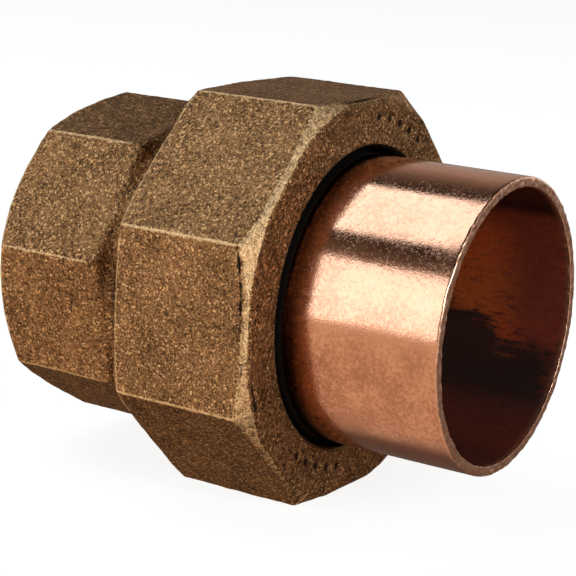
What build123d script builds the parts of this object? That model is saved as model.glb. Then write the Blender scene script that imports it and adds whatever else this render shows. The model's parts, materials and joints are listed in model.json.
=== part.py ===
from build123d import *

# A ground-joint pipe union for 1 inch copper water tube, solder cup to solder cup, in millimetres.
#
# Three pieces share one axis. A cast bronze threaded piece has a solder cup, an octagon to hold it by,
# a union thread and a cone seat. A wrot copper tailpiece has a solder cup and a ball-faced collar that
# seats in that cone. A cast bronze octagonal union nut runs on the thread, and its lip pulls the collar home.
#
# The origin is the centre of the threaded piece's cup mouth. +X runs through the fitting to the
# tailpiece's mouth, +Z is up, and one flat of the nut faces straight down. The nut is drawn up to the
# collar. Turning it by the right-hand rule about +X unscrews it towards +X.

import os
from math import cos, pi, radians, tan

# Tube cups
CUP_RADIUS = 14.35
CUP_DEPTH = 23.1
CUP_LEAD = 0.3
WATERWAY_RADIUS = 13.0

# Whole fitting
OVERALL_LENGTH = 53.0

# Threaded piece
BODY_ACROSS_FLATS = 33.5
BODY_OCTAGON_LENGTH = 14.1
BODY_OCTAGON_TURN = 12.5
BODY_CHAMFER_DEPTH = 1.0
SHOULDER_CHAMFER = 0.4
NECK_RADIUS = 16.2
NECK_END = 16.8
FLARE_END = 18.5
THREAD_START = 19.5
BODY_LENGTH = 28.4

# Union thread: 14 to the inch, right-handed, symmetrical 60 degree form with flat crests
PITCH = 25.4 / 14
FLANK_ANGLE = 30.0
MALE_CREST_RADIUS = 18.55
MALE_ROOT_RADIUS = 17.44
MALE_CREST_WIDTH = PITCH / 8
NUT_CREST_RADIUS = 17.75
NUT_ROOT_RADIUS = 18.75
FLANK_CLEARANCE = 0.12
THREAD_BURIED = 0.15
THREAD_RUNOUT = 1.1

# Ground joint
SEAT_ANGLE = 40.0
SEAT_RADIUS = 15.0
SEAT_X = 26.9
SEAT_CLEARANCE = 0.05

# Union nut
NUT_ACROSS_FLATS = 42.4
NUT_BACK = 18.85
NUT_FRONT = 35.35
NUT_FRONT_CHAMFER_DEPTH = 1.8
NUT_BACK_CHAMFER_DEPTH = 1.25
LIP_THICKNESS = 3.5
LIP_RADIUS = 16.1
LIP_EDGE = 0.35
RELIEF_LENGTH = 2.4
RELIEF_RADIUS = 18.9

# Tailpiece
TAIL_WALL = 1.05
TAIL_TIP_X = 25.3
TAIL_STOP_RADIUS = 13.1
COLLAR_RADIUS = 17.55
COLLAR_EDGE = 0.25
COLLAR_CLEARANCE = 0.05
COLLAR_FILLET = 0.4
RIM_ROUNDING = 0.3

# Worked out from those
CORNER_RATIO = 1 / cos(pi / 8)
FLANK_SLOPE = tan(radians(FLANK_ANGLE))
SEAT_SLOPE = tan(radians(SEAT_ANGLE))
TAIL_RADIUS = CUP_RADIUS + TAIL_WALL
LIP_BACK = NUT_FRONT - LIP_THICKNESS
NUT_THREAD_END = LIP_BACK - RELIEF_LENGTH
CLEAR = 1.0


def turned(*corners):
    """A solid of revolution about X from the corners of its (x, radius) outline."""
    outline = make_face(Polyline([(x, 0, radius) for x, radius in corners], close=True))
    return revolve(outline, axis=Axis.X)


def circles(shape, x, radius):
    """The round edges of a shape about X that lie at one x and one radius."""
    rounds = shape.edges().filter_by(GeomType.CIRCLE)
    return rounds.filter_by(lambda edge: abs(edge.radius - radius) < 1e-3 and abs(edge.center().X - x) < 1e-3)


def octagon_bar(across_flats, start, end, turn=0.0):
    """An octagonal bar along X, one flat facing down, then turned about X by some degrees."""
    section = Plane(origin=(start, 0, 0), x_dir=(0, 1, 0), z_dir=(1, 0, 0)) * RegularPolygon(
        across_flats / 2 * CORNER_RATIO, 8, rotation=22.5
    )
    return extrude(section, end - start).rotate(Axis.X, turn)


def thread_ridge(buried_radius, crest_radius, crest_width, start, turns):
    """A right-handed V ridge wound round X, from a radius inside its wall to its flat crest."""
    height = crest_radius - buried_radius
    crest_half = crest_width / 2
    base_half = crest_half + abs(height) * FLANK_SLOPE
    helix = Helix(PITCH, turns * PITCH, buried_radius, center=(start, 0, 0), direction=(1, 0, 0))
    begin = helix @ 0
    outward = Vector(0, begin.Y, begin.Z).normalized()
    axial = Plane(origin=begin, x_dir=(1, 0, 0), z_dir=Vector(1, 0, 0).cross(outward))
    profile = Polyline(
        [(-base_half, 0), (base_half, 0), (crest_half, height), (-crest_half, height)], close=True
    )
    return sweep(axial * make_face(profile), path=helix, is_frenet=True)


def threaded_piece():
    """Octagon, neck and male thread outside; solder cup, stop shoulder and cone seat inside."""
    flat_radius = BODY_ACROSS_FLATS / 2
    corner_radius = flat_radius * CORNER_RATIO
    head_envelope = turned(
        (0, 0),
        (0, flat_radius),
        (BODY_CHAMFER_DEPTH, corner_radius),
        (BODY_OCTAGON_LENGTH - SHOULDER_CHAMFER, corner_radius),
        (BODY_OCTAGON_LENGTH, corner_radius - SHOULDER_CHAMFER),
        (BODY_OCTAGON_LENGTH, 0),
    )
    head = octagon_bar(BODY_ACROSS_FLATS, 0, BODY_OCTAGON_LENGTH, BODY_OCTAGON_TURN) & head_envelope
    barrel = turned(
        (BODY_OCTAGON_LENGTH - CLEAR, 0),
        (BODY_OCTAGON_LENGTH - CLEAR, NECK_RADIUS),
        (NECK_END, NECK_RADIUS),
        (FLARE_END, MALE_ROOT_RADIUS),
        (BODY_LENGTH, MALE_ROOT_RADIUS),
        (BODY_LENGTH, 0),
    )
    buried = MALE_ROOT_RADIUS - THREAD_BURIED
    turns = (BODY_LENGTH - THREAD_START) / PITCH + 1
    ridge = thread_ridge(buried, MALE_CREST_RADIUS, MALE_CREST_WIDTH, THREAD_START - PITCH / 2, turns)
    runout_envelope = turned(
        (THREAD_START - THREAD_RUNOUT, buried - CLEAR),
        (THREAD_START - THREAD_RUNOUT, MALE_ROOT_RADIUS),
        (THREAD_START, MALE_CREST_RADIUS + CLEAR / 10),
        (BODY_LENGTH - THREAD_RUNOUT, MALE_CREST_RADIUS + CLEAR / 10),
        (BODY_LENGTH, MALE_ROOT_RADIUS),
        (BODY_LENGTH, buried - CLEAR),
    )
    throat_end = SEAT_X - (SEAT_RADIUS - WATERWAY_RADIUS) / SEAT_SLOPE
    beyond = BODY_LENGTH + CLEAR
    passage = turned(
        (-CLEAR, 0),
        (-CLEAR, CUP_RADIUS + CUP_LEAD + CLEAR),
        (CUP_LEAD, CUP_RADIUS),
        (CUP_DEPTH, CUP_RADIUS),
        (CUP_DEPTH, WATERWAY_RADIUS),
        (throat_end, WATERWAY_RADIUS),
        (beyond, SEAT_RADIUS + (beyond - SEAT_X) * SEAT_SLOPE),
        (beyond, 0),
    )
    return head + barrel - passage + (ridge & runout_envelope)


def union_nut():
    """Chamfered octagon with a lipped hole in front and the female union thread from the back."""
    flat_radius = NUT_ACROSS_FLATS / 2
    corner_radius = flat_radius * CORNER_RATIO
    envelope = turned(
        (NUT_BACK, 0),
        (NUT_BACK, flat_radius),
        (NUT_BACK + NUT_BACK_CHAMFER_DEPTH, corner_radius),
        (NUT_FRONT - NUT_FRONT_CHAMFER_DEPTH, corner_radius),
        (NUT_FRONT, corner_radius - NUT_FRONT_CHAMFER_DEPTH),
        (NUT_FRONT, 0),
    )
    bore = turned(
        (NUT_BACK - CLEAR, 0),
        (NUT_BACK - CLEAR, NUT_ROOT_RADIUS),
        (NUT_THREAD_END, NUT_ROOT_RADIUS),
        (NUT_THREAD_END, RELIEF_RADIUS),
        (LIP_BACK, RELIEF_RADIUS),
        (LIP_BACK, LIP_RADIUS + LIP_EDGE),
        (LIP_BACK + LIP_EDGE, LIP_RADIUS),
        (NUT_FRONT - LIP_EDGE, LIP_RADIUS),
        (NUT_FRONT + CLEAR, LIP_RADIUS + LIP_EDGE + CLEAR),
        (NUT_FRONT + CLEAR, 0),
    )
    buried = NUT_ROOT_RADIUS + THREAD_BURIED
    groove_half = PITCH / 2 - MALE_CREST_WIDTH / 2 - (MALE_CREST_RADIUS - NUT_CREST_RADIUS) * FLANK_SLOPE
    crest_width = 2 * (groove_half - FLANK_CLEARANCE / cos(radians(FLANK_ANGLE)))
    turns = (NUT_THREAD_END - NUT_BACK) / PITCH + 1
    ridge = thread_ridge(buried, NUT_CREST_RADIUS, crest_width, THREAD_START - PITCH, turns)
    runout_envelope = turned(
        (NUT_BACK, buried + CLEAR),
        (NUT_BACK, NUT_ROOT_RADIUS),
        (NUT_BACK + THREAD_RUNOUT, NUT_CREST_RADIUS - CLEAR / 10),
        (NUT_THREAD_END - THREAD_RUNOUT, NUT_CREST_RADIUS - CLEAR / 10),
        (NUT_THREAD_END, NUT_ROOT_RADIUS),
        (NUT_THREAD_END, buried + CLEAR),
    )
    blank = octagon_bar(NUT_ACROSS_FLATS, NUT_BACK, NUT_FRONT) & envelope
    return blank - bore + (ridge & runout_envelope)


def copper_tailpiece():
    """A solder cup with a rounded rim, and behind the nut's lip a collar with a ball face."""
    cone = radians(SEAT_ANGLE)
    ball_centre = SEAT_X + SEAT_RADIUS * tan(cone)
    ball = Pos(ball_centre, 0, 0) * Sphere(SEAT_RADIUS / cos(cone) - SEAT_CLEARANCE)
    cup_bottom = OVERALL_LENGTH - CUP_DEPTH
    collar_front = LIP_BACK - COLLAR_CLEARANCE
    collar_bar = turned(
        (TAIL_TIP_X, 0),
        (TAIL_TIP_X, COLLAR_RADIUS),
        (collar_front - COLLAR_EDGE, COLLAR_RADIUS),
        (collar_front, COLLAR_RADIUS - COLLAR_EDGE),
        (collar_front, 0),
    )
    tube = turned(
        (cup_bottom, 0),
        (cup_bottom, TAIL_RADIUS),
        (OVERALL_LENGTH, TAIL_RADIUS),
        (OVERALL_LENGTH, 0),
    )
    passage = turned(
        (TAIL_TIP_X - CLEAR, 0),
        (TAIL_TIP_X - CLEAR, TAIL_STOP_RADIUS),
        (cup_bottom, TAIL_STOP_RADIUS),
        (cup_bottom, CUP_RADIUS),
        (OVERALL_LENGTH + CLEAR, CUP_RADIUS),
        (OVERALL_LENGTH + CLEAR, 0),
    )
    piece = (ball & collar_bar) + tube - passage
    piece = fillet(circles(piece, collar_front, TAIL_RADIUS), COLLAR_FILLET)
    return fillet(circles(piece, OVERALL_LENGTH, TAIL_RADIUS), RIM_ROUNDING)


PIECES = {
    "threaded_piece": threaded_piece,
    "union_nut": union_nut,
    "copper_tailpiece": copper_tailpiece,
}

os.makedirs("parts", exist_ok=True)
for node, make_piece in PIECES.items():
    export_step(make_piece(), f"parts/{node}.step")
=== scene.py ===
"""The looks of a ground-joint pipe union: cast bronze threaded piece and nut, copper tailpiece, and a studio.

Run as a script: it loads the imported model, builds each piece as a surface worked out on a grid, gives it a
procedural finish and lets it ride on its body. Lengths are in metres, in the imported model's own frame: +X
runs along the fitting to the tailpiece's mouth. Angles round X start at +Z and grow towards -Y.
"""

import json
import math
from itertools import product

import bpy
import numpy as np
from bpy.props import FloatProperty, FloatVectorProperty, IntProperty, PointerProperty
from mathutils import Matrix, Vector


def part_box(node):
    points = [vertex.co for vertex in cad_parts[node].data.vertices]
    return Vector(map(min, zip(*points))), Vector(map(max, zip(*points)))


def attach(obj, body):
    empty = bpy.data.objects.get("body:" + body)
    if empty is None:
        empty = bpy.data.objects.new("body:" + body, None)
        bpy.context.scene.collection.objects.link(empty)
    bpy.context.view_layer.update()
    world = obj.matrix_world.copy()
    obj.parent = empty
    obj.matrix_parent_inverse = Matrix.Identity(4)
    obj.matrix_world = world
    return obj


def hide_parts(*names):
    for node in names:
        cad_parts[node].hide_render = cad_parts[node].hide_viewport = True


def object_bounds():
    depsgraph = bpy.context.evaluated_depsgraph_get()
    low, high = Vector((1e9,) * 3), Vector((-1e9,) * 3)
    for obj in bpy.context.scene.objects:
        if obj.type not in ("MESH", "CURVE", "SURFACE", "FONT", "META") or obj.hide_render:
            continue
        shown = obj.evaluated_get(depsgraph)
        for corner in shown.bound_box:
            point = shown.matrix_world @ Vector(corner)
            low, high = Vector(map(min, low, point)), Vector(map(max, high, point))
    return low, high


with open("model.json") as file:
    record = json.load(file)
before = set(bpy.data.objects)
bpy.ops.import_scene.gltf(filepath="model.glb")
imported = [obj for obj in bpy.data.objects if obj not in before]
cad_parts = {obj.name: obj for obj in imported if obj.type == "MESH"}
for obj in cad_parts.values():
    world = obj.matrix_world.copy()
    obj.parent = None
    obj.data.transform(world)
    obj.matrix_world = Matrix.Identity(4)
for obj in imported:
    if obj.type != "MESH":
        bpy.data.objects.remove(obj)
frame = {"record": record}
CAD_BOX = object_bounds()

bl_info = {
    "name": "Ground-Joint Pipe Union",
    "version": (1, 0, 0),
    "blender": (4, 5, 0),
    "location": "View3D > Sidebar > Pipe Union",
    "description": "Builds a bronze and copper ground-joint pipe union and a small studio round it",
    "category": "Add Mesh",
}

MM = 0.001
TAU = 2 * math.pi
EIGHTH = TAU / 8
HALF_EIGHTH = TAU / 16
CORNER_RATIO = 1 / math.cos(HALF_EIGHTH)
FLANK_ANGLE = math.radians(30)
WELD = 1e-7
HAIR = 0.01 * MM
LONGEST_EASING = 0.45
LATTICE_KEYS = np.array([73856093, 19349663, 83492791])
SEED_KEY = 7919
SCRAMBLE_KEY = 1274126177
LIGHT_POWER = 3.95

BODY_LOW, BODY_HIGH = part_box("threaded_piece")
NUT_LOW, NUT_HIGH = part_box("union_nut")
TAIL_LOW, TAIL_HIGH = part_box("copper_tailpiece")
CUP = {mount["name"]: mount["dims"] for mount in frame["record"]["mounts"]}["tailpiece_cup"]
CUP_RADIUS = CUP["r_mm"] * MM
CUP_DEPTH = CUP["length_mm"] * MM
PITCH = TAU * frame["record"]["behaviour"]["couplings"][0]["ratio"]
CREST_FLAT = PITCH / 8


def length(name, millimetres, description):
    """A length property with its default given in millimetres."""
    return FloatProperty(
        name=name,
        default=millimetres * MM,
        min=0.0,
        precision=5,
        unit="LENGTH",
        subtype="DISTANCE",
        description=description,
    )


def turned_by(name, degrees, description):
    """An angle property with its default given in degrees."""
    return FloatProperty(name=name, default=math.radians(degrees), subtype="ANGLE", description=description)


def colour(name, default, description):
    """A colour property, as linear red, green and blue."""
    return FloatVectorProperty(
        name=name, default=default, size=3, min=0.0, max=1.0, subtype="COLOR", description=description
    )


def share(name, default, description):
    """A plain number property."""
    return FloatProperty(name=name, default=default, description=description)


class BronzeFinish(bpy.types.PropertyGroup):
    """Colours and grain of the tumbled sand-cast bronze."""

    pit: colour("Pits", (0.052, 0.022, 0.009), "Oxide in the low spots of the casting skin")
    skin: colour("Skin", (0.400, 0.178, 0.068), "Casting skin between the pits")
    gold: colour("High spots", (0.98, 0.52, 0.23), "High spots rubbed bright by tumbling")
    # On the nut's front crease and bevel this colour is also a painted highlight, brightest on the upper
    # front side.
    edge: colour("Worn edges", (1.0, 0.60, 0.30), "Edges rubbed bright by tumbling")
    turned: colour("Turned metal", (0.62, 0.37, 0.18), "Threads and seats as turned")
    glint: colour("Glint", (1.0, 0.78, 0.62), "Tint of reflections at a glancing angle")
    # Also painted shade: this colour darkens the neck next to the nut and the gap inside the nut's hole.
    soot_and_shade: colour("Soot", (0.020, 0.011, 0.007), "Grime in the neck and in the gap inside the nut's hole")
    grain: length("Grain", 0.21, "Size of one grain of the casting skin")
    relief: length("Relief", 0.22, "Height of the casting skin's grain")


class CopperFinish(bpy.types.PropertyGroup):
    """Colours of the drawn copper."""

    bright: colour("Bright copper", (0.92, 0.43, 0.265), "Polished copper")
    tarnish: colour("Tarnish", (0.36, 0.12, 0.06), "Brown tarnish in specks and clouds")
    # Also painted shade: the copper in the gap inside the nut's hole and next to the nut, and the top inside
    # the cup.
    grime_and_shade: colour("Grime", (0.012, 0.008, 0.006), "Grime in the gap inside the nut's hole")
    # The next three colours paint the light and shade inside the cup: dark maroon, orange painted light
    # deeper in, and near-black painted shade; the near-black one also gives the cut rim its dark specks.
    bore: colour("Bore", (0.42, 0.080, 0.046), "Heat-tinted copper inside the cup")
    painted_glow: colour("Glow", (1.0, 0.20, 0.045), "Orange heat tint deeper in the cup")
    scale: colour("Scale", (0.080, 0.040, 0.032), "Dark scale inside the cup")
    rim: colour("Cut rim", (0.95, 0.55, 0.37), "Metal laid bare where the rim was cut")


class ThreadForm(bpy.types.PropertyGroup):
    """Union thread: symmetrical 60 degree form, right-handed."""

    male_crest: length("Male crest radius", BODY_HIGH.z / MM, "Radius over the male thread")
    male_root: length("Male root radius", 17.44, "Radius at the bottom of the male thread")
    nut_crest: length("Nut crest radius", 17.75, "Radius inside the nut's thread")
    nut_root: length("Nut root radius", 18.75, "Radius at the bottom of the nut's thread")
    flank_gap: length("Flank gap", 0.12, "Gap between the two threads' flanks")
    runout: length("Run-out", 1.1, "Length over which a thread fades to nothing")
    start: length("Thread start", 19.5, "Where the male thread reaches its full height")
    ease: length("Crest rounding", 0.06, "Rounding of crests and roots")


class ThreadedPieceSizes(bpy.types.PropertyGroup):
    """Sizes of the threaded piece that its packed box doesn't give."""

    across_flats: length("Across flats", 33.5, "Octagon across its flats")
    octagon_end: length("Octagon length", 14.1, "From the cup's mouth to the octagon's shoulder")
    turn: turned_by("Octagon turn", 12.5, "How far the octagon is turned from the nut's")
    edge_radius: length("Edge rounding", 0.45, "Rounding of the octagon's long edges")
    chamfer: length("End chamfer", 1.0, "Depth of the chamfer at the cup's mouth, along the axis")
    shoulder: length("Shoulder", 0.55, "Half the length over which the octagon blends into the neck")
    neck_radius: length("Neck radius", 16.2, "Neck between the octagon and the thread")
    neck_end: length("Neck end", 16.8, "Where the neck starts to flare to the thread")
    waterway: length("Waterway radius", 13.0, "Bore past the cup's stop shoulder")
    seat_start: length("Seat start", 24.52, "Where the cone seat leaves the waterway")
    seat_mouth: length("Seat mouth radius", 16.26, "Radius of the cone seat at the end face")
    lead: length("Cup lead-in", 0.3, "Small chamfer at the cup's mouth")
    steps: IntProperty(name="Steps per flat", default=50, min=8, description="Grid columns on each flat")


class NutSizes(bpy.types.PropertyGroup):
    """Sizes of the union nut that its packed box doesn't give."""

    edge_radius: length("Edge rounding", 0.42, "Rounding of the octagon's long edges")
    face_radius: length("Front circle", 21.15, "Radius of the circle that cuts the octagon's front corners")
    front_bevel: length("Front bevel", 0.42, "Width of the rubbed bevel along the flats' front edges")
    back_bevel: length("Back bevel", 0.30, "Width of the bevel along the flats' back edges")
    bevel_depth: length("Bevel depth", 0.70, "Depth of the front bevel along the axis")
    corner_slope: share("Corner slope", 0.50, "Depth along the axis for each unit cut off a front corner")
    lip_thickness: length("Lip", 3.5, "Thickness of the lip round the hole")
    lip_radius: length("Hole radius", 16.1, "Radius of the hole that the tailpiece passes through")
    lip_edge: length("Hole edge", 0.35, "Chamfer on the hole's edges")
    relief_length: length("Relief length", 2.4, "Thread relief behind the lip")
    relief_radius: length("Relief radius", 18.9, "Radius of the thread relief")
    fold_depth: length("Fold depth", 0.14, "Depth of the casting's laps")
    upper_circle: length("Upper pips' circle", 19.2, "Radius of the upper row of pips")
    lower_circle: length("Lower pips' circle", 18.3, "Radius of the lower row of pips")
    upper_middle: turned_by("Upper pips", -20.5, "Where the upper row of pips is, round the axis")
    lower_middle: turned_by("Lower pips", 158, "Where the lower row of pips is, round the axis")
    pip_pitch: turned_by("Pip pitch", 7.0, "Angle from pip to pip")
    pip_depth: length("Pip depth", 0.34, "Depth of the cast pips on the front face")
    pip_radius: length("Pip radius", 0.74, "Radius of each pip")
    steps: IntProperty(name="Steps per flat", default=44, min=8, description="Grid columns on each flat")


class TailSizes(bpy.types.PropertyGroup):
    """Sizes of the tailpiece that its packed box doesn't give."""

    wall: length("Wall", 1.05, "Wall of the solder cup")
    stop_radius: length("Stop radius", 13.1, "Bore past the cup's stop shoulder")
    seat_radius: length("Seat radius", 15.0, "Radius at which the ball face meets the cone seat")
    seat_x: length("Seat place", 26.9, "Where the ball face meets the cone seat, along X")
    seat_angle: turned_by("Seat angle", 40, "Cone seat's half angle")
    seat_gap: length("Seat gap", 0.05, "Gap left at the seat and behind the lip")
    collar_edge: length("Collar edge", 0.25, "Chamfer on the collar")
    fillet: length("Collar fillet", 0.4, "Fillet between collar and tube")
    rim_rounding: length("Rim rounding", 0.3, "Rounding of the rim's outer edge")
    steps: IntProperty(name="Steps round", default=480, min=32, description="Grid columns round the tube")


class StudioSizes(bpy.types.PropertyGroup):
    """Floor, lights and camera."""

    floor: colour("Floor", (0.93, 0.93, 0.92), "Pale floor")
    below: colour("Light from below", (0.67, 0.58, 0.46), "Surroundings under the horizon, in front")
    shaded: colour("Shaded light", (0.12, 0.09, 0.075), "Surroundings under the horizon, behind")
    level: colour("Light at the horizon", (0.38, 0.34, 0.30), "Surroundings at the horizon")
    above: colour("Light from above", (0.03, 0.025, 0.02), "Surroundings high up")
    boxes: colour("Soft boxes", (0.69, 0.89, 1.0), "Light of the soft boxes")
    azimuth: share("Camera azimuth", 32.33, "Degrees round Z from -Y towards +X")
    elevation: share("Camera elevation", 13.48, "Degrees above the horizon")
    roll: share("Camera roll", 2.78, "Degrees")
    distance: length("Camera distance", 192.05, "From the tailpiece's mouth, along the line of sight")
    aside: length("Camera aside", 22.41, "How far the line of sight passes left of the mouth's centre")
    over: length("Camera over", 4.00, "How far the line of sight passes above the mouth's centre")
    lens: share("Lens", 118.83, "Focal length in millimetres on a 36 mm frame")


# ---- grids -------------------------------------------------------------------------------------------------


def octagon_angles(steps, turn):
    """One turn of angles, its first repeated at the end, closer together near the octagon's corners.

    Across each flat t runs from -1 to 1 and the angle from the flat's middle is
    22.5 degrees * t * (1 + crowd * (1 - t^2)).
    """
    crowd = 0.35
    t = np.linspace(-1, 1, steps, endpoint=False)
    local = HALF_EIGHTH * t * (1 + crowd * (1 - t**2))
    angles = (turn + EIGHTH * np.arange(8)[:, None] + local).ravel()
    return np.append(angles, angles[0] + TAU)


def from_flat(angles, turn):
    """Angle from the middle of the nearest flat, from -22.5 to 22.5 degrees."""
    return (angles - turn + HALF_EIGHTH) % EIGHTH - HALF_EIGHTH


def octagon_radius(angles, flat_radius, edge_radius, turn):
    """Distance from the axis to a rounded octagon.

    On a flat it is flat_radius / cos(angle from the flat's middle). Near a corner it is where the ray meets
    the circle of edge_radius that touches both flats.
    """
    local = from_flat(angles, turn)
    corner = HALF_EIGHTH - np.abs(local)
    centre = (flat_radius - edge_radius) * CORNER_RATIO
    arc = centre * np.cos(corner) + np.sqrt(np.maximum(edge_radius**2 - (centre * np.sin(corner)) ** 2, 0))
    touch = (flat_radius - edge_radius) * math.tan(HALF_EIGHTH)
    return np.where(flat_radius * np.tan(np.abs(local)) > touch, arc, flat_radius / np.cos(local))


def flat_painted_shade(angles, turn):
    """Painted shade on each of the eight flats, counted from the top flat towards -Y: how much darker each
    flat is drawn.
    """
    painted_shades = np.array([0.50, 0.0, 0.0, 0.48, 0.28, 0.12, 0.15, 0.20])
    return painted_shades[np.round((angles - turn) / EIGHTH).astype(int) % 8]


def outline(angles, *corners):
    """Stacks (x, radius) corners, each a number or one value per angle, into an array (corner, angle, 2)."""
    blank = np.zeros_like(angles)
    return np.array([np.stack([blank + x, blank + radius], axis=-1) for x, radius in corners])


def eased_path(corners, cuts, steps, arc_steps=6):
    """A path along straight runs, with each corner P eased.

    The curve is (1-u)^2 A + 2u(1-u) P + u^2 B, where A and B lie one cut before and after P, but never
    further than the longest easing, a share of the shorter run. Run k has steps[k] steps.
    """
    runs = np.diff(corners, axis=0)
    tiny = 1e-12
    lengths = np.linalg.norm(runs, axis=-1) + tiny
    ways = runs / lengths[..., None]
    before = [corners[0]]
    after = [corners[0]]
    for k in range(1, len(corners) - 1):
        cut = np.minimum(cuts[k], LONGEST_EASING * np.minimum(lengths[k - 1], lengths[k]))[:, None]
        before.append(corners[k] - ways[k - 1] * cut)
        after.append(corners[k] + ways[k] * cut)
    before.append(corners[-1])
    rows = []
    for k, count in enumerate(steps):
        if k and cuts[k] > 0:
            u = np.linspace(0, 1, arc_steps, endpoint=False)[:, None, None]
            rows.append((1 - u) ** 2 * before[k] + 2 * u * (1 - u) * corners[k] + u**2 * after[k])
        s = np.linspace(0, 1, count, endpoint=False)[:, None, None]
        rows.append(after[k] * (1 - s) + before[k + 1] * s)
    rows.append(corners[-1][None])
    return np.concatenate(rows)


def nearness(path, corners, reach):
    """exp(-(distance / reach)^2) from each path point to the nearest of its angle's corner points."""
    gaps = np.linalg.norm(path[None] - corners[:, None], axis=-1).min(axis=0)
    return np.exp(-((gaps / reach) ** 2))


def swept(path, angles):
    """Points (x, -r sin a, r cos a) of a path given as (row, angle, [x, r])."""
    x, radius = path[..., 0], path[..., 1]
    return np.stack([x, -radius * np.sin(angles), radius * np.cos(angles)], axis=-1)


def thread_path(angles, low, high, root, crest, crest_width, start, runout, ease):
    """Rows that wind with the thread, so that crests and roots stay crisp.

    Row j lies at x = start + pitch * (phase_j + angle / 360 degrees), held between low and high. Its radius
    goes from root to crest and back over one pitch along 30 degree flanks, a little rounded, and fades to the
    root over the run-out at both ends. Phases gather round the crest's and the root's edges.
    """
    rounding = 0.3
    rise = abs(crest - root) * math.tan(FLANK_ANGLE) / PITCH
    top = crest_width / 2 / PITCH
    foot = top + rise
    soft = ease / PITCH
    half = np.array([0, top - soft, top, top + soft, foot - soft, foot, foot + soft, 0.5])
    cycle = np.concatenate([half, 1 - half[-2:0:-1]])
    first = math.floor((low - start) / PITCH - angles.max() / TAU) - 1
    last = math.ceil((high - start) / PITCH - angles.min() / TAU) + 1
    phases = (np.arange(first, last)[:, None] + cycle).ravel()
    x = np.clip(start + PITCH * (phases[:, None] + angles / TAU), low, high)
    phase = (x - start) / PITCH - angles / TAU
    off_crest = np.abs(phase - np.round(phase))
    bend = (foot - off_crest) / rise
    height = 0.5 * (np.abs(bend) - np.abs(bend - 1) + 1)
    height = height * height * (3 - 2 * height) * rounding + height * (1 - rounding)
    fade = np.clip(np.minimum(x - low, high - x) / runout, 0, 1)
    keep = np.concatenate([[True], np.any(np.abs(np.diff(x, axis=0)) > WELD, axis=1)])
    radius = root + (crest - root) * np.minimum(height, fade)
    return np.stack([x, radius], axis=-1)[keep]


def lattice_noise(points, cell, seed):
    """Smooth noise from -1 to 1: random values on a cubic lattice, blended by 3f^2 - 2f^3 in each cell."""
    place = points / cell
    base = np.floor(place).astype(np.int64)
    part = place - base
    part = part * part * (3 - 2 * part)
    total = np.zeros(len(points))
    for corner in product((0, 1), repeat=3):
        key = ((base + corner) * LATTICE_KEYS).sum(axis=1) + seed * SEED_KEY
        key = (key ^ (key >> 13)) * SCRAMBLE_KEY
        value = ((key ^ (key >> 16)) & 0xFFFF) / 0x7FFF - 1
        total += value * np.prod(np.where(corner, part, 1 - part), axis=1)
    return total


def build_mesh(name, patches):
    """Welds patches into one closed mesh object with its masks as point attributes.

    Each patch is (points (row, column, 3), {mask: values (row, column)}). Points closer than the weld
    distance become one, and quads that lose a corner become triangles or go.
    """
    quads, masks, first = [], {key: [] for key in patches[0][1]}, 0
    for points, values in patches:
        index = first + np.arange(points.shape[0] * points.shape[1]).reshape(points.shape[:2])
        around = [index[:-1, :-1], index[:-1, 1:], index[1:, 1:], index[1:, :-1]]
        quads.append(np.stack(around, axis=-1).reshape(-1, 4))
        first += index.size
        for key, value in values.items():
            masks[key].append(np.broadcast_to(value, points.shape[:2]).ravel())
    cloud = np.concatenate([points.reshape(-1, 3) for points, _ in patches])
    keys = np.round(cloud / WELD).astype(np.int64)
    _, kept, merged = np.unique(keys, axis=0, return_index=True, return_inverse=True)
    faces = merged.reshape(-1)[np.concatenate(quads)]
    same = faces == np.roll(faces, -1, axis=1)
    triangles = faces[same.sum(axis=1) == 1]
    triangles = triangles[~same[same.sum(axis=1) == 1]].reshape(-1, 3)
    faces = faces[same.sum(axis=1) == 0]
    cloud = cloud[kept]
    a, b, c, d = (cloud[faces[:, k]] for k in range(4))
    if np.einsum("ij,ij->", a, np.cross(b, c) + np.cross(c, d)) < 0:
        faces, triangles = faces[:, ::-1], triangles[:, ::-1]
    mesh = bpy.data.meshes.new(name)
    mesh.from_pydata(cloud, [], faces.tolist() + triangles.tolist())
    mesh.shade_smooth()
    for key, values in masks.items():
        attribute = mesh.attributes.new(key, "FLOAT", "POINT")
        attribute.data.foreach_set("value", np.concatenate(values)[kept].astype(np.float32))
    piece = bpy.data.objects.new(name, mesh)
    bpy.context.scene.collection.objects.link(piece)
    return piece


def read_points(mesh, source, name, width):
    """One array from a mesh's vertices or attribute."""
    values = np.zeros(len(mesh.vertices) * width, np.float32)
    source.foreach_get(name, values)
    return values.reshape(-1, width).astype(float)


def raise_surface(piece, height):
    """Moves every vertex along its normal by height(points, mask reader)."""
    mesh = piece.data
    points = read_points(mesh, mesh.vertices, "co", 3)
    normals = read_points(mesh, mesh.vertices, "normal", 3)

    def mask(name):
        return read_points(mesh, mesh.attributes[name].data, "value", 1)[:, 0]

    points += normals * height(points, mask)[:, None]
    mesh.vertices.foreach_set("co", points.astype(np.float32).ravel())
    mesh.update()


def cast_skin(points, mask):
    """Sand-cast unevenness: slow waves, lumps and coarse grain, on as-cast surfaces only."""
    waves = 0.060 * MM * lattice_noise(points, 6.0 * MM, 3)
    lumps = 0.030 * MM * lattice_noise(points, 1.7 * MM, 4)
    grain = 0.030 * MM * lattice_noise(points, 0.62 * MM, 5)
    return mask("cast") * (waves + lumps + grain)


# ---- finishes ----------------------------------------------------------------------------------------------


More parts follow.
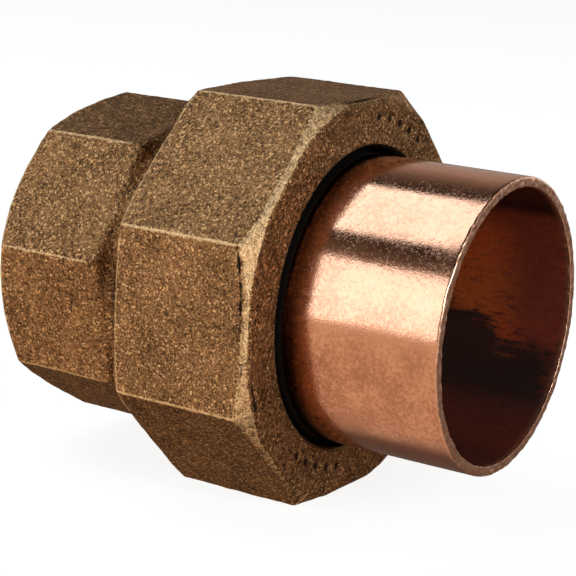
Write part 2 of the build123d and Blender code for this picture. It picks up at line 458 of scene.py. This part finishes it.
class Value:
    """A node socket that can be used in an expression."""

    def __init__(self, nodes, socket):
        self.nodes = nodes
        self.socket = socket

    def maths(self, operation, first, second):
        """A Math node on two values."""
        return self.nodes.node("ShaderNodeMath", {"operation": operation}, {0: first, 1: second})

    def __add__(self, other):
        return self.maths("ADD", self, other)

    __radd__ = __add__

    def __mul__(self, other):
        return self.maths("MULTIPLY", self, other)

    __rmul__ = __mul__

    def __sub__(self, other):
        return self.maths("SUBTRACT", self, other)

    def __rsub__(self, other):
        return self.maths("SUBTRACT", other, self)

    def __truediv__(self, other):
        return self.maths("DIVIDE", self, other)

    def __pow__(self, other):
        return self.maths("POWER", self, other)

    def between(self, low, high):
        """0 below low and 1 above high, with a smooth step between."""
        settings = {"interpolation_type": "SMOOTHSTEP"}
        return self.nodes.node("ShaderNodeMapRange", settings, {0: self, 1: low, 2: high})


class Nodes:
    """A node tree whose nodes are made by one method."""

    def __init__(self, tree):
        self.tree = tree

    def node(self, kind, settings=None, inputs=None, output=0):
        """Makes a node, sets its settings, then its sockets, and returns one output."""
        node = self.tree.nodes.new(kind)
        for key, value in (settings or {}).items():
            setattr(node, key, value)
        for key, value in (inputs or {}).items():
            self.join(value, node.inputs[key])
        return Value(self, node.outputs[output])

    def join(self, value, socket):
        """Links a Value to a socket, or sets the socket to a number or a colour."""
        if isinstance(value, Value):
            self.tree.links.new(value.socket, socket)
        elif socket.type == "RGBA":
            socket.default_value = (*value, 1)
        else:
            socket.default_value = value

    def mix(self, amount, first, second):
        """A colour from first to second."""
        return self.node("ShaderNodeMix", {"data_type": "RGBA"}, {0: amount, 6: first, 7: second}, output=2)


class Finish(Nodes):
    """A material made of nodes."""

    def __init__(self, name):
        self.material = bpy.data.materials.new(name)
        self.material.use_nodes = True
        super().__init__(self.material.node_tree)
        self.shader = self.tree.nodes["Principled BSDF"]
        self.place = self.node("ShaderNodeTexCoord", output="Object")

    def mask(self, name):
        """A float attribute of the mesh."""
        return self.node("ShaderNodeAttribute", {"attribute_name": name}, output="Fac")

    def part(self, axis):
        """One object coordinate, in metres."""
        return self.node("ShaderNodeSeparateXYZ", None, {0: self.place}, output=axis)

    def stretched(self, along, across):
        """Object coordinates in cells: along is cells per metre along X, across is round it."""
        settings = {"operation": "MULTIPLY"}
        return self.node("ShaderNodeVectorMath", settings, {0: self.place, 1: (along, across, across)})

    def noise(self, size, detail=2.0, roughness=0.5, place=None):
        """Fractal noise whose largest features are about size metres across."""
        inputs = {"Scale": 1 / size, "Detail": detail, "Roughness": roughness, "Vector": place or self.place}
        return self.node("ShaderNodeTexNoise", None, inputs)

    def cells(self, size):
        """A random number in each grain-shaped cell."""
        inputs = {"Scale": 1 / size, "Vector": self.place}
        cell = self.node("ShaderNodeTexVoronoi", None, inputs, output="Color")
        return self.node("ShaderNodeSeparateColor", None, {0: cell})

    def bump(self, height, distance):
        """A normal tilted by a height that runs from 0 to 1 over the distance."""
        return self.node("ShaderNodeBump", None, {"Height": height, "Distance": distance, "Strength": 1.0})

    def wear(self, **sockets):
        """Fills the shader's sockets, with underscores for spaces."""
        for key, value in sockets.items():
            self.join(value, self.shader.inputs[key.replace("_", " ")])
        return self.material


def cast_bronze(name, look):
    """Tumbled sand-cast bronze: pitted brown skin, gold high spots and edges, turned metal where cut.

    The skin's height is a sum of fine, coarse and cloudy noise. Low spots hold oxide. High spots and a few
    grains are rubbed, and the masks add edges rubbed bright (on the nut partly a painted highlight), dirt
    with painted shade in the neck and the hole, painted shade that darkens some flats, and turned metal.
    """
    finish = Finish(name)
    grain = look.grain
    coarse_grain, cloud, facet = 2.6 * grain, 18 * grain, 0.9 * grain
    fine = finish.noise(grain, detail=2.0, roughness=0.6)
    coarse = finish.noise(coarse_grain, detail=2.0, roughness=0.6)
    clouds = finish.noise(cloud, detail=2.0)
    cell = finish.cells(facet)
    sparkle = cell**6.0
    wear_and_highlight = finish.mask("wear_and_highlight")
    turned = finish.mask("turned")
    grime_and_shade = finish.mask("grime_and_shade")
    painted_face_shade = finish.mask("painted_face_shade")

    # Casting skin.
    high = fine * 0.60 + coarse * 0.26 + clouds * 0.14 - painted_face_shade * 0.12
    skin = finish.mix(high.between(0.37, 0.58), tuple(look.pit), tuple(look.skin))
    rubbed = high.between(0.50, 0.66) * 0.42 + sparkle * 0.72
    skin = finish.mix(rubbed.between(0.05, 0.95), skin, tuple(look.gold))
    # Painted shade: the top and lower flats and the nut's front face are drawn darker, towards the pit
    # colour.
    skin = finish.mix(painted_face_shade * 0.35, skin, tuple(look.pit))
    edge = (wear_and_highlight + fine + coarse * 0.8 - 1.24).between(0.0, 0.78)
    skin = finish.mix(edge, skin, tuple(look.edge))

    # Turned metal, dirt and painted shade, and relief.
    tool_marks = finish.stretched(along=7000, across=120)
    lines = finish.noise(1.0, detail=1.0, place=tool_marks)
    metal = finish.mix(lines.between(0.3, 0.8) * 0.4, tuple(look.turned), tuple(look.skin))
    # Painted shade in the neck, the hole, the dimples and the laps, and dark pits, as specks where the skin
    # is low.
    soot_and_shade = (grime_and_shade * 1.4 - high * 0.9).between(0.0, 0.55)
    shade = finish.mix(soot_and_shade, finish.mix(turned, skin, metal), tuple(look.soot_and_shade))
    height = (fine * 0.8 + coarse * 0.6 + cell * 0.25) * (1 - turned) + lines * turned * 0.12
    return finish.wear(
        Base_Color=shade,
        Metallic=0.88 + turned * 0.10 - soot_and_shade * 0.12,
        Specular_Tint=tuple(look.glint),
        Roughness=0.42 - rubbed * 0.10 - edge * 0.06 - turned * 0.12 + soot_and_shade * 0.4,
        Normal=finish.bump(height, look.relief),
    )


def drawn_copper(name, look):
    """Polished drawn copper: specks and clouds of tarnish outside, and painted light and shade inside the
    cup.

    Tarnish is heavier on the lower half. Painted shade darkens the copper next to the nut, more on the lower
    half, and in the gap inside the nut's hole. Inside the cup painted light lies above the slanting line
    z + slant * x = tint_edge, in millimetres, blurred by waves and by feathery streaks along the axis, and
    painted shade lies below it.
    """
    slant, tint_edge, blur = 0.43, 15.7, 10
    finish = Finish(name)
    fine = finish.noise(0.18 * MM, detail=1.0)
    specks = finish.noise(0.45 * MM, detail=3.0, roughness=0.75)
    clouds = finish.noise(3.8 * MM, detail=3.0, roughness=0.6)
    scratches = finish.noise(1.0, detail=3.0, place=finish.stretched(along=110, across=1300))
    feather = finish.stretched(along=480, across=2400)
    feathers = finish.noise(1.0, detail=4.0, roughness=0.65, place=feather)
    waves = finish.noise(6.0 * MM, detail=1.0)
    bore = finish.mask("bore")
    cut = finish.mask("cut")
    near = finish.mask("grime_and_shade")
    grime_and_shade = (near + specks * 0.08).between(0.97, 1.03)
    along = finish.part("X") / MM
    upright = finish.part("Z") / MM
    under = (upright * -0.10 + 0.62).between(0.0, 1.0) * (upright * 0.12 + 2.1).between(0.0, 1.0)
    stain = finish.mask("stain")

    # Outside of the tube.
    dull = (clouds * 0.46 + specks * 0.58 + fine * 0.30 + stain * 0.06 + under * 0.03).between(0.54, 0.84)
    dust = (fine * 0.5 + specks * 0.5).between(0.50, 0.64)
    shade = finish.mix(dull * (0.34 + under * 0.30), tuple(look.bright), tuple(look.tarnish))
    # Painted shade and painted dark reflection of the nut next to it: tarnish colour, then near-black, more
    # on the lower half.
    shade = finish.mix(near * 0.72, shade, tuple(look.tarnish))
    dark = (near + specks * 0.3).between(0.26, 0.88) * (0.72 + under * 0.23)
    shade = finish.mix(dark, shade, tuple(look.grime_and_shade))

    # Inside of the cup: painted light and shade. Orange painted light deeper in and maroon above the slanting
    # line, painted shade below it and at the top, and dark streaks.
    level = upright + along * slant - tint_edge + (waves - 0.5) * blur + (feathers - 0.5) * blur
    deep = (along * -0.28 + 13.6 + (feathers - 0.5) * 5).between(0.0, 1.6)
    painted_glow = deep * (upright * -0.3 + 3.0).between(0.0, 1.0)
    tint = finish.mix(painted_glow, tuple(look.bore), tuple(look.painted_glow))
    bottom = (upright * -0.2 - 1.9).between(0, 0.5)
    low = finish.mix(bottom * 0.5, tuple(look.scale), tuple(look.bore))
    inside = finish.mix(level.between(-1.5, 1.5), low, tint)
    top = (upright * 0.4 - 3.6).between(0, 0.6)
    inside = finish.mix(top * 0.9, inside, tuple(look.grime_and_shade))
    inside = finish.mix(feathers.between(0.46, 0.70) * 0.55, inside, tuple(look.scale))
    shade = finish.mix(bore, shade, inside)

    # Cut rim, and painted shade in the gap inside the nut's hole.
    shade = finish.mix(cut * specks.between(0.36, 0.56), shade, tuple(look.rim))
    shade = finish.mix(cut * specks.between(0.56, 0.62) * 0.7, shade, tuple(look.scale))
    shade = finish.mix(grime_and_shade, shade, tuple(look.grime_and_shade))
    height = fine * 0.5 + specks * 0.3 + scratches * bore * 0.8
    return finish.wear(
        Base_Color=shade,
        Metallic=1.0 - grime_and_shade * 0.5 - bore * 0.30,
        Roughness=0.09 + dull * 0.10 + dust * 0.09 + bore * 0.16 + cut * 0.22 + grime_and_shade * 0.4,
        Normal=finish.bump(height, 0.012 * MM),
    )


def plain_floor(name, shade):
    """A matt pale floor, most of whose brightness is its own, so that shadows on it stay faint."""
    finish = Finish(name)
    lit_share = 0.25
    return finish.wear(
        Base_Color=tuple(part * lit_share for part in shade),
        Roughness=0.9,
        Emission_Color=tuple(shade),
        Emission_Strength=0.93,
    )


def settle(piece, body, node, material):
    """Gives a piece its finish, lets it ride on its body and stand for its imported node."""
    piece.data.materials.append(material)
    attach(piece, body)
    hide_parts(node)


# ---- pieces ------------------------------------------------------------------------------------------------


class ThreadedPiece(bpy.types.Operator):
    """Cast octagon with a solder cup, a neck, the male union thread and a cone seat"""

    bl_idname = "pipe_union.threaded_piece"
    bl_label = "Threaded Piece"

    def execute(self, context):
        sizes, thread = context.scene.union_threaded, context.scene.union_thread
        angles = octagon_angles(sizes.steps, sizes.turn)
        flat = sizes.across_flats / 2
        rim = octagon_radius(angles, flat, sizes.edge_radius, sizes.turn)
        slope = sizes.chamfer / (flat * CORNER_RATIO - flat)
        least_chamfer = 0.02 * MM
        end = BODY_HIGH.x
        thread_low = thread.start - thread.runout
        ends = outline(
            angles,
            (end, thread.male_root),
            (end, sizes.seat_mouth),
            (sizes.seat_start, sizes.waterway),
            (CUP_DEPTH, sizes.waterway),
            (CUP_DEPTH, CUP_RADIUS),
            (sizes.lead, CUP_RADIUS),
            (0, CUP_RADIUS + sizes.lead),
            (0, flat),
            (np.maximum((rim - flat) * slope, least_chamfer), rim),
            (sizes.octagon_end - sizes.shoulder, rim),
            (sizes.octagon_end + sizes.shoulder, sizes.neck_radius),
            (sizes.neck_end, sizes.neck_radius),
            (thread_low, thread.male_root),
        )
        mouth_edges = slice(7, 9)
        # How far each of these corners is eased, in millimetres, and the grid rows on each run between them.
        cuts = MM * np.array([0, 0.12, 0.1, 0.1, 0.15, 0.1, 0.1, 0.35, 0.35, 0, 0, 0.6, 0])
        cuts[9:11] = 0.9 * sizes.shoulder, 1.6 * sizes.shoulder
        path = eased_path(ends, cuts, [2, 8, 3, 3, 8, 2, 10, 5, 34, 4, 8, 5])
        x, radius = path[..., 0], path[..., 1]
        across = np.abs(from_flat(angles, sizes.turn))
        ridge_width, mouth_width, ridge_fade, neck_fade = 0.24 * MM, 0.30 * MM, 0.8 * MM, 3.0 * MM
        ridge = np.exp(-((radius * (HALF_EIGHTH - across) / ridge_width) ** 2)) * (radius > flat * 0.995)
        shoulder = sizes.octagon_end - 2 * sizes.shoulder
        ridge *= np.clip((shoulder - x) / ridge_fade, 0, 1)
        wear_and_highlight = np.maximum(nearness(path, ends[mouth_edges], mouth_width), ridge)
        inside = radius < CUP_RADIUS + sizes.lead + HAIR
        # Painted shade in the neck next to the nut, darkest at 98 degrees round.
        darkest_turn = math.radians(98)
        neck_shade_share = 0.34 + 0.46 * np.cos(angles - darkest_turn) ** 2
        masks = {
            "grime_and_shade": np.clip((x - shoulder) / neck_fade, 0, 1) * neck_shade_share,
            "wear_and_highlight": wear_and_highlight * 0.86,
            # painted shade on the flats, none on the end face
            "painted_face_shade": flat_painted_shade(angles, sizes.turn) * (x > 0.05 * MM),
            "cast": np.where(inside | (x > thread_low - 0.3 * MM), 0.0, 1.0),
            "turned": np.where(inside | (x > thread_low), 1.0, 0.0),
        }
        winding = thread_path(
            angles,
            thread_low,
            end,
            thread.male_root,
            thread.male_crest,
            CREST_FLAT,
            thread.start - PITCH / 2,
            thread.runout,
            thread.ease,
        )
        bare = dict.fromkeys(masks, 0.0) | {"turned": 1.0}
        patches = [(swept(path, angles), masks), (swept(winding, angles), bare)]
        piece = build_mesh("threaded_piece_cast", patches)
        raise_surface(piece, cast_skin)
        material = cast_bronze("cast_bronze_body", context.scene.union_bronze)
        settle(piece, "threaded_piece", "threaded_piece", material)
        return {"FINISHED"}


class UnionNut(bpy.types.Operator):
    """Cast octagonal nut with chamfers, a lipped hole, cast pips and the female union thread"""

    bl_idname = "pipe_union.union_nut"
    bl_label = "Union Nut"

    def execute(self, context):
        sizes, thread = context.scene.union_nut, context.scene.union_thread
        angles = octagon_angles(sizes.steps, 0.0)
        flat = NUT_HIGH.z
        rim = octagon_radius(angles, flat, sizes.edge_radius, 0.0)
        front, back = NUT_HIGH.x, NUT_LOW.x
        back_slope, back_circle = 0.25, flat + 0.9 * MM
        face = np.minimum(rim - sizes.front_bevel, sizes.face_radius)
        cut_off = rim - sizes.front_bevel - face
        lip_back = front - sizes.lip_thickness
        thread_high = lip_back - sizes.relief_length
        ends = outline(
            angles,
            (thread_high, thread.nut_root),
            (thread_high, sizes.relief_radius),
            (lip_back, sizes.relief_radius),
            (lip_back, sizes.lip_radius + sizes.lip_edge),
            (lip_back + sizes.lip_edge, sizes.lip_radius),
            (front - sizes.lip_edge, sizes.lip_radius),
            (front, sizes.lip_radius + sizes.lip_edge),
            (front, face),
            (front - sizes.bevel_depth - sizes.corner_slope * cut_off, rim),
            (back + sizes.back_bevel + back_slope * (rim - flat), rim),
            (back, np.minimum(rim - sizes.back_bevel, back_circle)),
            (back, thread.nut_root),
        )
        crease, back_edges = 8, slice(9, 11)
        # How far each of these corners is eased, in millimetres, and the grid rows on each run between them.
        cuts = MM * np.array([0, 0.05, 0.25, 0.1, 0.1, 0.15, 0.15, 0.35, 0.35, 0.25, 0.25, 0])
        path = eased_path(ends, cuts, [1, 6, 5, 1, 5, 1, 34, 8, 46, 6, 6])
        x, radius = path[..., 0], path[..., 1]
        across = np.abs(from_flat(angles, 0.0))
        ridge_width, crease_width, back_width = 0.25 * MM, 0.30 * MM, 0.22 * MM
        ridge = np.exp(-((radius * (HALF_EIGHTH - across) / ridge_width) ** 2)) * (radius > flat * 0.999)
        past_crease = np.clip((x - ends[crease, :, 0]) / (0.15 * MM), 0, 1)
        bevel = past_crease * np.clip((radius - face) / (0.1 * MM), 0, 1)
        creases = nearness(path, ends[crease : crease + 1], crease_width)
        back_edge = nearness(path, ends[back_edges], back_width) * 0.8
        outer = (radius > thread.nut_root + 1.2 * MM) | (x > front - 0.05 * MM)
        points = swept(path, angles)
        hollow, ring = self.pips(points, sizes, front)
        brightest_turn, darkest_turn, front_painted_shade = math.radians(60), math.radians(15), 0.26
        # Painted highlight: wear on the front crease and bevel is drawn brightest at 60 degrees round, on the
        # upper front side, and faint on the lower back.
        rubbed = 0.56 + 0.44 * np.cos(angles - brightest_turn)
        wear_and_highlight = np.maximum(np.maximum(creases * 0.8, bevel * 0.85) * rubbed, np.maximum(ridge, back_edge))
        hole_edge = sizes.lip_radius + sizes.lip_edge
        # Painted shade in the gap inside the hole; at the hole's edge it is darkest at 15 degrees round and
        # fades towards the lower left.
        gap = np.clip((front + 0.25 * MM - x) / (0.5 * MM), 0, 1) * (radius < hole_edge)
        edge_shade = np.clip(0.2 + 1.1 * np.cos(angles - darkest_turn), 0, 1)
        gap *= np.where(radius > sizes.lip_radius + 0.05 * MM, edge_shade, 1.0)
        folds = self.folds(path, points, angles, ends)
        pits_x, pits_length = front - 1.5 * MM, 1.3 * MM
        pits_turn, pits_reach = math.radians(92), math.radians(12)
        apart = ((pits_x - x) / pits_length) ** 2 + ((angles - pits_turn) / pits_reach) ** 2
        pitted = 0.44 * np.exp(-apart) * outer
        masks = {
            # painted shade in the hole, the dimples and the laps, and a patch of dark specks
            "grime_and_shade": np.max([gap * (x > lip_back - WELD), hollow * 0.8, folds, pitted], axis=0),
            "wear_and_highlight": np.maximum(wear_and_highlight, ring * 0.46) * (1 - folds) * outer,
            "cast": np.where(outer & (radius > hole_edge), 1.0, 0.0),
            "turned": np.where(outer, 0.0, 1.0),
            # painted shade on the flats and on the front face
            "painted_face_shade": np.where(x > front - 0.1 * MM, front_painted_shade, flat_painted_shade(angles, 0.0)) * outer,
            "dent": hollow * sizes.pip_depth + folds * sizes.fold_depth,
        }
        groove = PITCH / 2 - CREST_FLAT / 2 - (thread.male_crest - thread.nut_crest) * math.tan(FLANK_ANGLE)
        winding = thread_path(
            angles,
            back,
            thread_high,
            thread.nut_root,
            thread.nut_crest,
            2 * (groove - thread.flank_gap / math.cos(FLANK_ANGLE)),
            thread.start - PITCH,
            thread.runout,
            thread.ease,
        )
        bare = dict.fromkeys(masks, 0.0) | {"turned": 1.0}
        patches = [(points, masks), (swept(winding, angles), bare)]
        piece = build_mesh("union_nut_cast", patches)
        raise_surface(piece, lambda points, mask: cast_skin(points, mask) - mask("dent"))
        material = cast_bronze("cast_bronze_nut", context.scene.union_bronze)
        settle(piece, "nut", "union_nut", material)
        return {"FINISHED"}

    def pips(self, points, sizes, front):
        """Two arcs of evenly spaced round dimples on the front face, and the rubbed rings round them.

        A dimple is 1 - (d / pip radius)^2 deep, and its ring peaks at 1.25 pip radii and is half a pip radius
        wide to either side.
        """
        ring_radius, ring_width = 1.25, 0.5
        places = [(sizes.upper_circle, sizes.upper_middle), (sizes.lower_circle, sizes.lower_middle)]
        hollow = np.zeros(points.shape[:2])
        ring = np.zeros(points.shape[:2])
        for (circle, middle), k in product(places, range(-2, 3)):
            turn = middle + k * sizes.pip_pitch
            gap = np.hypot(points[..., 1] + circle * math.sin(turn), points[..., 2] - circle * math.cos(turn))
            hollow += np.clip(1 - (gap / sizes.pip_radius) ** 2, 0, 1)
            off_ring = np.abs(gap / sizes.pip_radius - ring_radius)
            ring = np.maximum(ring, np.clip(1 - off_ring / ring_width, 0, 1))
        face = points[..., 0] > front - 0.3 * MM
        return hollow * face, ring * face

    def folds(self, path, points, angles, ends):
        """Three short, ragged laps left by the casting: two along front edges and one on the front face.

        Each is a groove exp(-(distance / width)^2) along a corner of the outline. It is given by that corner,
        its shift along X in millimetres, its middle and half length in degrees, and its shift inwards.
        """
        width, cell, seed = 0.28 * MM, 0.7 * MM, 21
        laps = [(8, 0.15, 1, 15, 0.0), (8, -0.35, 78, 16, 0.0), (7, 0.0, 109, 9, 0.45)]
        total = np.zeros(path.shape[:2])
        for corner, shift, middle, reach, inward in laps:
            place = ends[corner] + np.array([shift, -inward]) * MM
            gap = np.linalg.norm(path - place, axis=-1)
            along = (angles - math.radians(middle) + math.pi) % TAU - math.pi
            window = np.clip(1.5 - 1.5 * np.abs(along) / math.radians(reach), 0, 1)
            total = np.maximum(total, np.exp(-((gap / width) ** 2)) * window)
        ragged = lattice_noise(points.reshape(-1, 3), cell, seed).reshape(total.shape)
        return total * np.clip(0.78 + 0.40 * ragged, 0, 1)


class CopperTailpiece(bpy.types.Operator):
    """Copper solder cup with a cut rim, and the ball-faced collar that the nut draws home"""

    bl_idname = "pipe_union.copper_tailpiece"
    bl_label = "Copper Tailpiece"

    def execute(self, context):
        sizes = context.scene.union_tail
        angles = np.linspace(0, TAU, sizes.steps + 1)
        mouth, tip = TAIL_HIGH.x, TAIL_LOW.x
        tube, collar = CUP_RADIUS + sizes.wall, TAIL_HIGH.z
        nut = context.scene.union_nut
        collar_front = NUT_HIGH.x - nut.lip_thickness - sizes.seat_gap
        ball = sizes.seat_radius / math.cos(sizes.seat_angle) - sizes.seat_gap
        centre = sizes.seat_x + sizes.seat_radius * math.tan(sizes.seat_angle)
        cup_bottom = mouth - CUP_DEPTH
        radii = np.linspace(math.sqrt(ball**2 - (centre - tip) ** 2), collar, 14)
        face = [(centre - math.sqrt(ball**2 - radius**2), radius) for radius in radii]
        ends = outline(
            angles,
            (cup_bottom, CUP_RADIUS),
            (cup_bottom, sizes.stop_radius),
            (tip, sizes.stop_radius),
            *face,
            (collar_front, collar),
            (collar_front, tube),
            (mouth, tube),
            (mouth, CUP_RADIUS),
            (cup_bottom, CUP_RADIUS),
        )
        inner_edge = 0.08 * MM
        cuts = [0, 0.1 * MM, 0.12 * MM, inner_edge] + [0] * (len(face) - 1)
        cuts += [sizes.collar_edge, sizes.fillet, sizes.rim_rounding, inner_edge, 0]
        # Grid rows on each run: from the cup's bottom round the ball face and collar to the mouth and back.
        steps = [3, 8, 2] + [1] * (len(face) - 1) + [2, 5, 60, 5, 60]
        path = eased_path(ends, cuts, steps)
        x, radius = path[..., 0], path[..., 1]
        bright_lip, cut_width, shade_reach = 0.6 * MM, 0.22 * MM, 3.5 * MM
        inside = np.where(radius < CUP_RADIUS + HAIR, 1.0, 0.0)
        outside = radius > CUP_RADIUS + 0.2 * MM
        masks = {
            "bore": inside * np.clip((mouth - x) / bright_lip, 0, 1),
            "cut": np.clip(1 - (mouth - x) / cut_width, 0, 1),
            # painted shade on the copper inside the nut's hole, fading over 3.5 mm past it
            "grime_and_shade": np.clip((NUT_HIGH.x + shade_reach - x) / shade_reach, 0, 1) * outside,
            "stain": self.stains(x, angles),
        }
        piece = build_mesh("copper_tailpiece_drawn", [(swept(path, angles), masks)])
        raise_surface(piece, self.handling)
        material = drawn_copper("wrot_copper", context.scene.union_copper)
        settle(piece, "tailpiece", "copper_tailpiece", material)
        return {"FINISHED"}

    def stains(self, x, angles):
        """Soft oval stains, exp(-(along / long)^2 - (round / wide)^2) each.

        A spot is its place along X in millimetres, its angle, how long it is and how wide it is in degrees.
        """
        spots = [
            (45.5, 104, 3.6, 7),
            (50.6, 96, 1.3, 9),
            (41.0, 117, 2.2, 9),
            (47.5, 62, 3.0, 3),
            (43.0, 128, 4.5, 6),
        ]
        total = np.zeros_like(x)
        for place, turn, long, wide in spots:
            apart = ((x - place * MM) / (long * MM)) ** 2
            total += np.exp(-apart - ((angles - math.radians(turn)) / math.radians(wide)) ** 2)
        return total

    def handling(self, points, mask):
        """Slight waves of the drawn wall, and tiny burrs where the rim was cut."""
        waves = 0.012 * MM * lattice_noise(points, 5.0 * MM, 11)
        ripples = 0.003 * MM * lattice_noise(points, 1.3 * MM, 12)
        burrs = 0.07 * MM * lattice_noise(points, 0.5 * MM, 13) * mask("cut")
        return waves + ripples + burrs


# ---- studio ------------------------------------------------------------------------------------------------


class Studio(bpy.types.Operator):
    """Pale floor, soft boxes, surroundings and camera"""

    bl_idname = "pipe_union.studio"
    bl_label = "Studio"

    def execute(self, context):
        sizes = context.scene.union_studio
        self.floor(context, sizes)
        self.surroundings(context, sizes)
        middle = Vector(((CAD_BOX[0].x + CAD_BOX[1].x) / 2, 0, 0))
        # Name, degrees round X, lean, distance, sides and brightness of each soft box.
        boxes = [
            ("front_box", 71, -0.47, 0.6, (0.56, 0.46), 1.60),
            ("top_box", 1, -0.47, 0.6, (0.56, 0.46), 1.85),
            ("right_box", 40, 0.90, 0.6, (0.26, 0.26), 9.0),
            ("back_box", -80, 0.30, 0.8, (0.40, 0.30), 0.8),
        ]
        for name, degrees, lean, distance, sides, brightness in boxes:
            self.soft_box(context, name, middle, degrees, lean, distance, sides, brightness)
        self.camera(context, sizes)
        return {"FINISHED"}

    def floor(self, context, sizes):
        """A square sheet under the nut's lowest flat. It lights nothing by itself."""
        half, low = 2.5, CAD_BOX[0].z
        mesh = bpy.data.meshes.new("floor")
        corners = [(-half, -half, low), (half, -half, low), (half, half, low), (-half, half, low)]
        mesh.from_pydata(corners, [], [(0, 1, 2, 3)])
        floor = bpy.data.objects.new("floor", mesh)
        context.scene.collection.objects.link(floor)
        mesh.materials.append(plain_floor("pale_floor", sizes.floor))
        floor.visible_diffuse = False
        floor.visible_glossy = False
        floor.visible_shadow = False

    def surroundings(self, context, sizes):
        """Surroundings by height: warm and bright below, grey at the horizon and dark above.

        Below the horizon, the light falls off from the front to the back, where the fitting shades the table.
        Heights and depths are parts of a unit view direction.
        """
        world = bpy.data.worlds.new("surroundings")
        context.scene.world = world
        world.use_nodes = True
        nodes = Nodes(world.node_tree)
        place = nodes.node("ShaderNodeTexCoord", output="Generated")
        height = nodes.node("ShaderNodeSeparateXYZ", None, {0: place}, output="Z")
        depth = nodes.node("ShaderNodeSeparateXYZ", None, {0: place}, output="Y")
        in_front = (depth * -1).between(-0.40, -0.04)
        high_up = height.between(0.35, 0.80)
        over_horizon = height.between(-0.12, 0.04)
        below = nodes.mix(in_front, tuple(sizes.shaded), tuple(sizes.below))
        above = nodes.mix(high_up, tuple(sizes.level), tuple(sizes.above))
        sky = nodes.mix(over_horizon, below, above)
        nodes.join(sky, world.node_tree.nodes["Background"].inputs["Color"])

    def soft_box(self, context, name, middle, degrees, lean, distance, size, brightness):
        """A rectangular soft box that faces the fitting.

        It stands at an angle round X, leaning by a share of its distance along X. Its first side runs along
        the fitting and its second round it. Its power is LIGHT_POWER * area * brightness.
        """
        light = bpy.data.lights.new(name, "AREA")
        light.shape = "RECTANGLE"
        light.size, light.size_y = size
        light.energy = LIGHT_POWER * size[0] * size[1] * brightness
        light.color = context.scene.union_studio.boxes
        box = bpy.data.objects.new(name, light)
        turn = math.radians(degrees)
        out = math.sqrt(1 - lean**2)
        way = Vector((lean, -out * math.sin(turn), out * math.cos(turn)))
        round_x = Vector((0, -math.cos(turn), -math.sin(turn)))
        sides = Matrix((round_x.cross(way), round_x, way)).transposed()
        box.matrix_world = Matrix.Translation(middle + way * distance) @ sides.to_4x4()
        context.scene.collection.objects.link(box)

    def camera(self, context, sizes):
        """The camera looks along its azimuth and elevation, past the mouth's centre."""
        turn, lift, roll = (math.radians(angle) for angle in (sizes.azimuth, sizes.elevation, sizes.roll))
        back = Vector(
            (math.sin(turn) * math.cos(lift), -math.cos(turn) * math.cos(lift), math.sin(lift))
        )
        level = Vector((0, 0, 1)).cross(back).normalized()
        upright = back.cross(level)
        right = math.cos(roll) * level + math.sin(roll) * upright
        up = math.cos(roll) * upright - math.sin(roll) * level
        mouth = Vector((TAIL_HIGH.x, 0, 0))
        camera = bpy.data.objects.new("camera", bpy.data.cameras.new("camera"))
        camera.data.lens = sizes.lens
        camera.data.clip_start, camera.data.clip_end = 0.01, 20
        place = mouth + sizes.distance * back - sizes.aside * right + sizes.over * up
        camera.matrix_world = Matrix.Translation(place) @ Matrix((right, up, back)).transposed().to_4x4()
        context.scene.collection.objects.link(camera)
        context.scene.camera = camera
        context.scene.view_settings.view_transform = "Standard"


class UnionPanel(bpy.types.Panel):
    """Lists the union's pieces and their sizes"""

    bl_idname = "VIEW3D_PT_pipe_union"
    bl_label = "Pipe Union"
    bl_space_type = "VIEW_3D"
    bl_region_type = "UI"
    bl_category = "Pipe Union"

    def draw(self, context):
        for operator, group in PANEL_ROWS:
            self.layout.operator(operator.bl_idname)
            sizes = getattr(context.scene, group)
            for key in sizes.__annotations__:
                self.layout.prop(sizes, key)


GROUPS = {
    "union_bronze": BronzeFinish,
    "union_copper": CopperFinish,
    "union_thread": ThreadForm,
    "union_threaded": ThreadedPieceSizes,
    "union_nut": NutSizes,
    "union_tail": TailSizes,
    "union_studio": StudioSizes,
}
PANEL_ROWS = [
    (ThreadedPiece, "union_threaded"),
    (UnionNut, "union_nut"),
    (CopperTailpiece, "union_tail"),
    (Studio, "union_studio"),
]
CLASSES = [*GROUPS.values(), ThreadedPiece, UnionNut, CopperTailpiece, Studio, UnionPanel]


def register():
    """Adds the classes, and one property group of each kind to the scene."""
    for kind in CLASSES:
        bpy.utils.register_class(kind)
    for name, group in GROUPS.items():
        setattr(bpy.types.Scene, name, PointerProperty(type=group))


def unregister():
    """Takes away what register added."""
    for name in GROUPS:
        delattr(bpy.types.Scene, name)
    for kind in reversed(CLASSES):
        bpy.utils.unregister_class(kind)


def main():
    """Builds the pieces and the studio."""
    register()
    bpy.ops.pipe_union.threaded_piece()
    bpy.ops.pipe_union.union_nut()
    bpy.ops.pipe_union.copper_tailpiece()
    bpy.ops.pipe_union.studio()


if __name__ == "__main__":
    main()
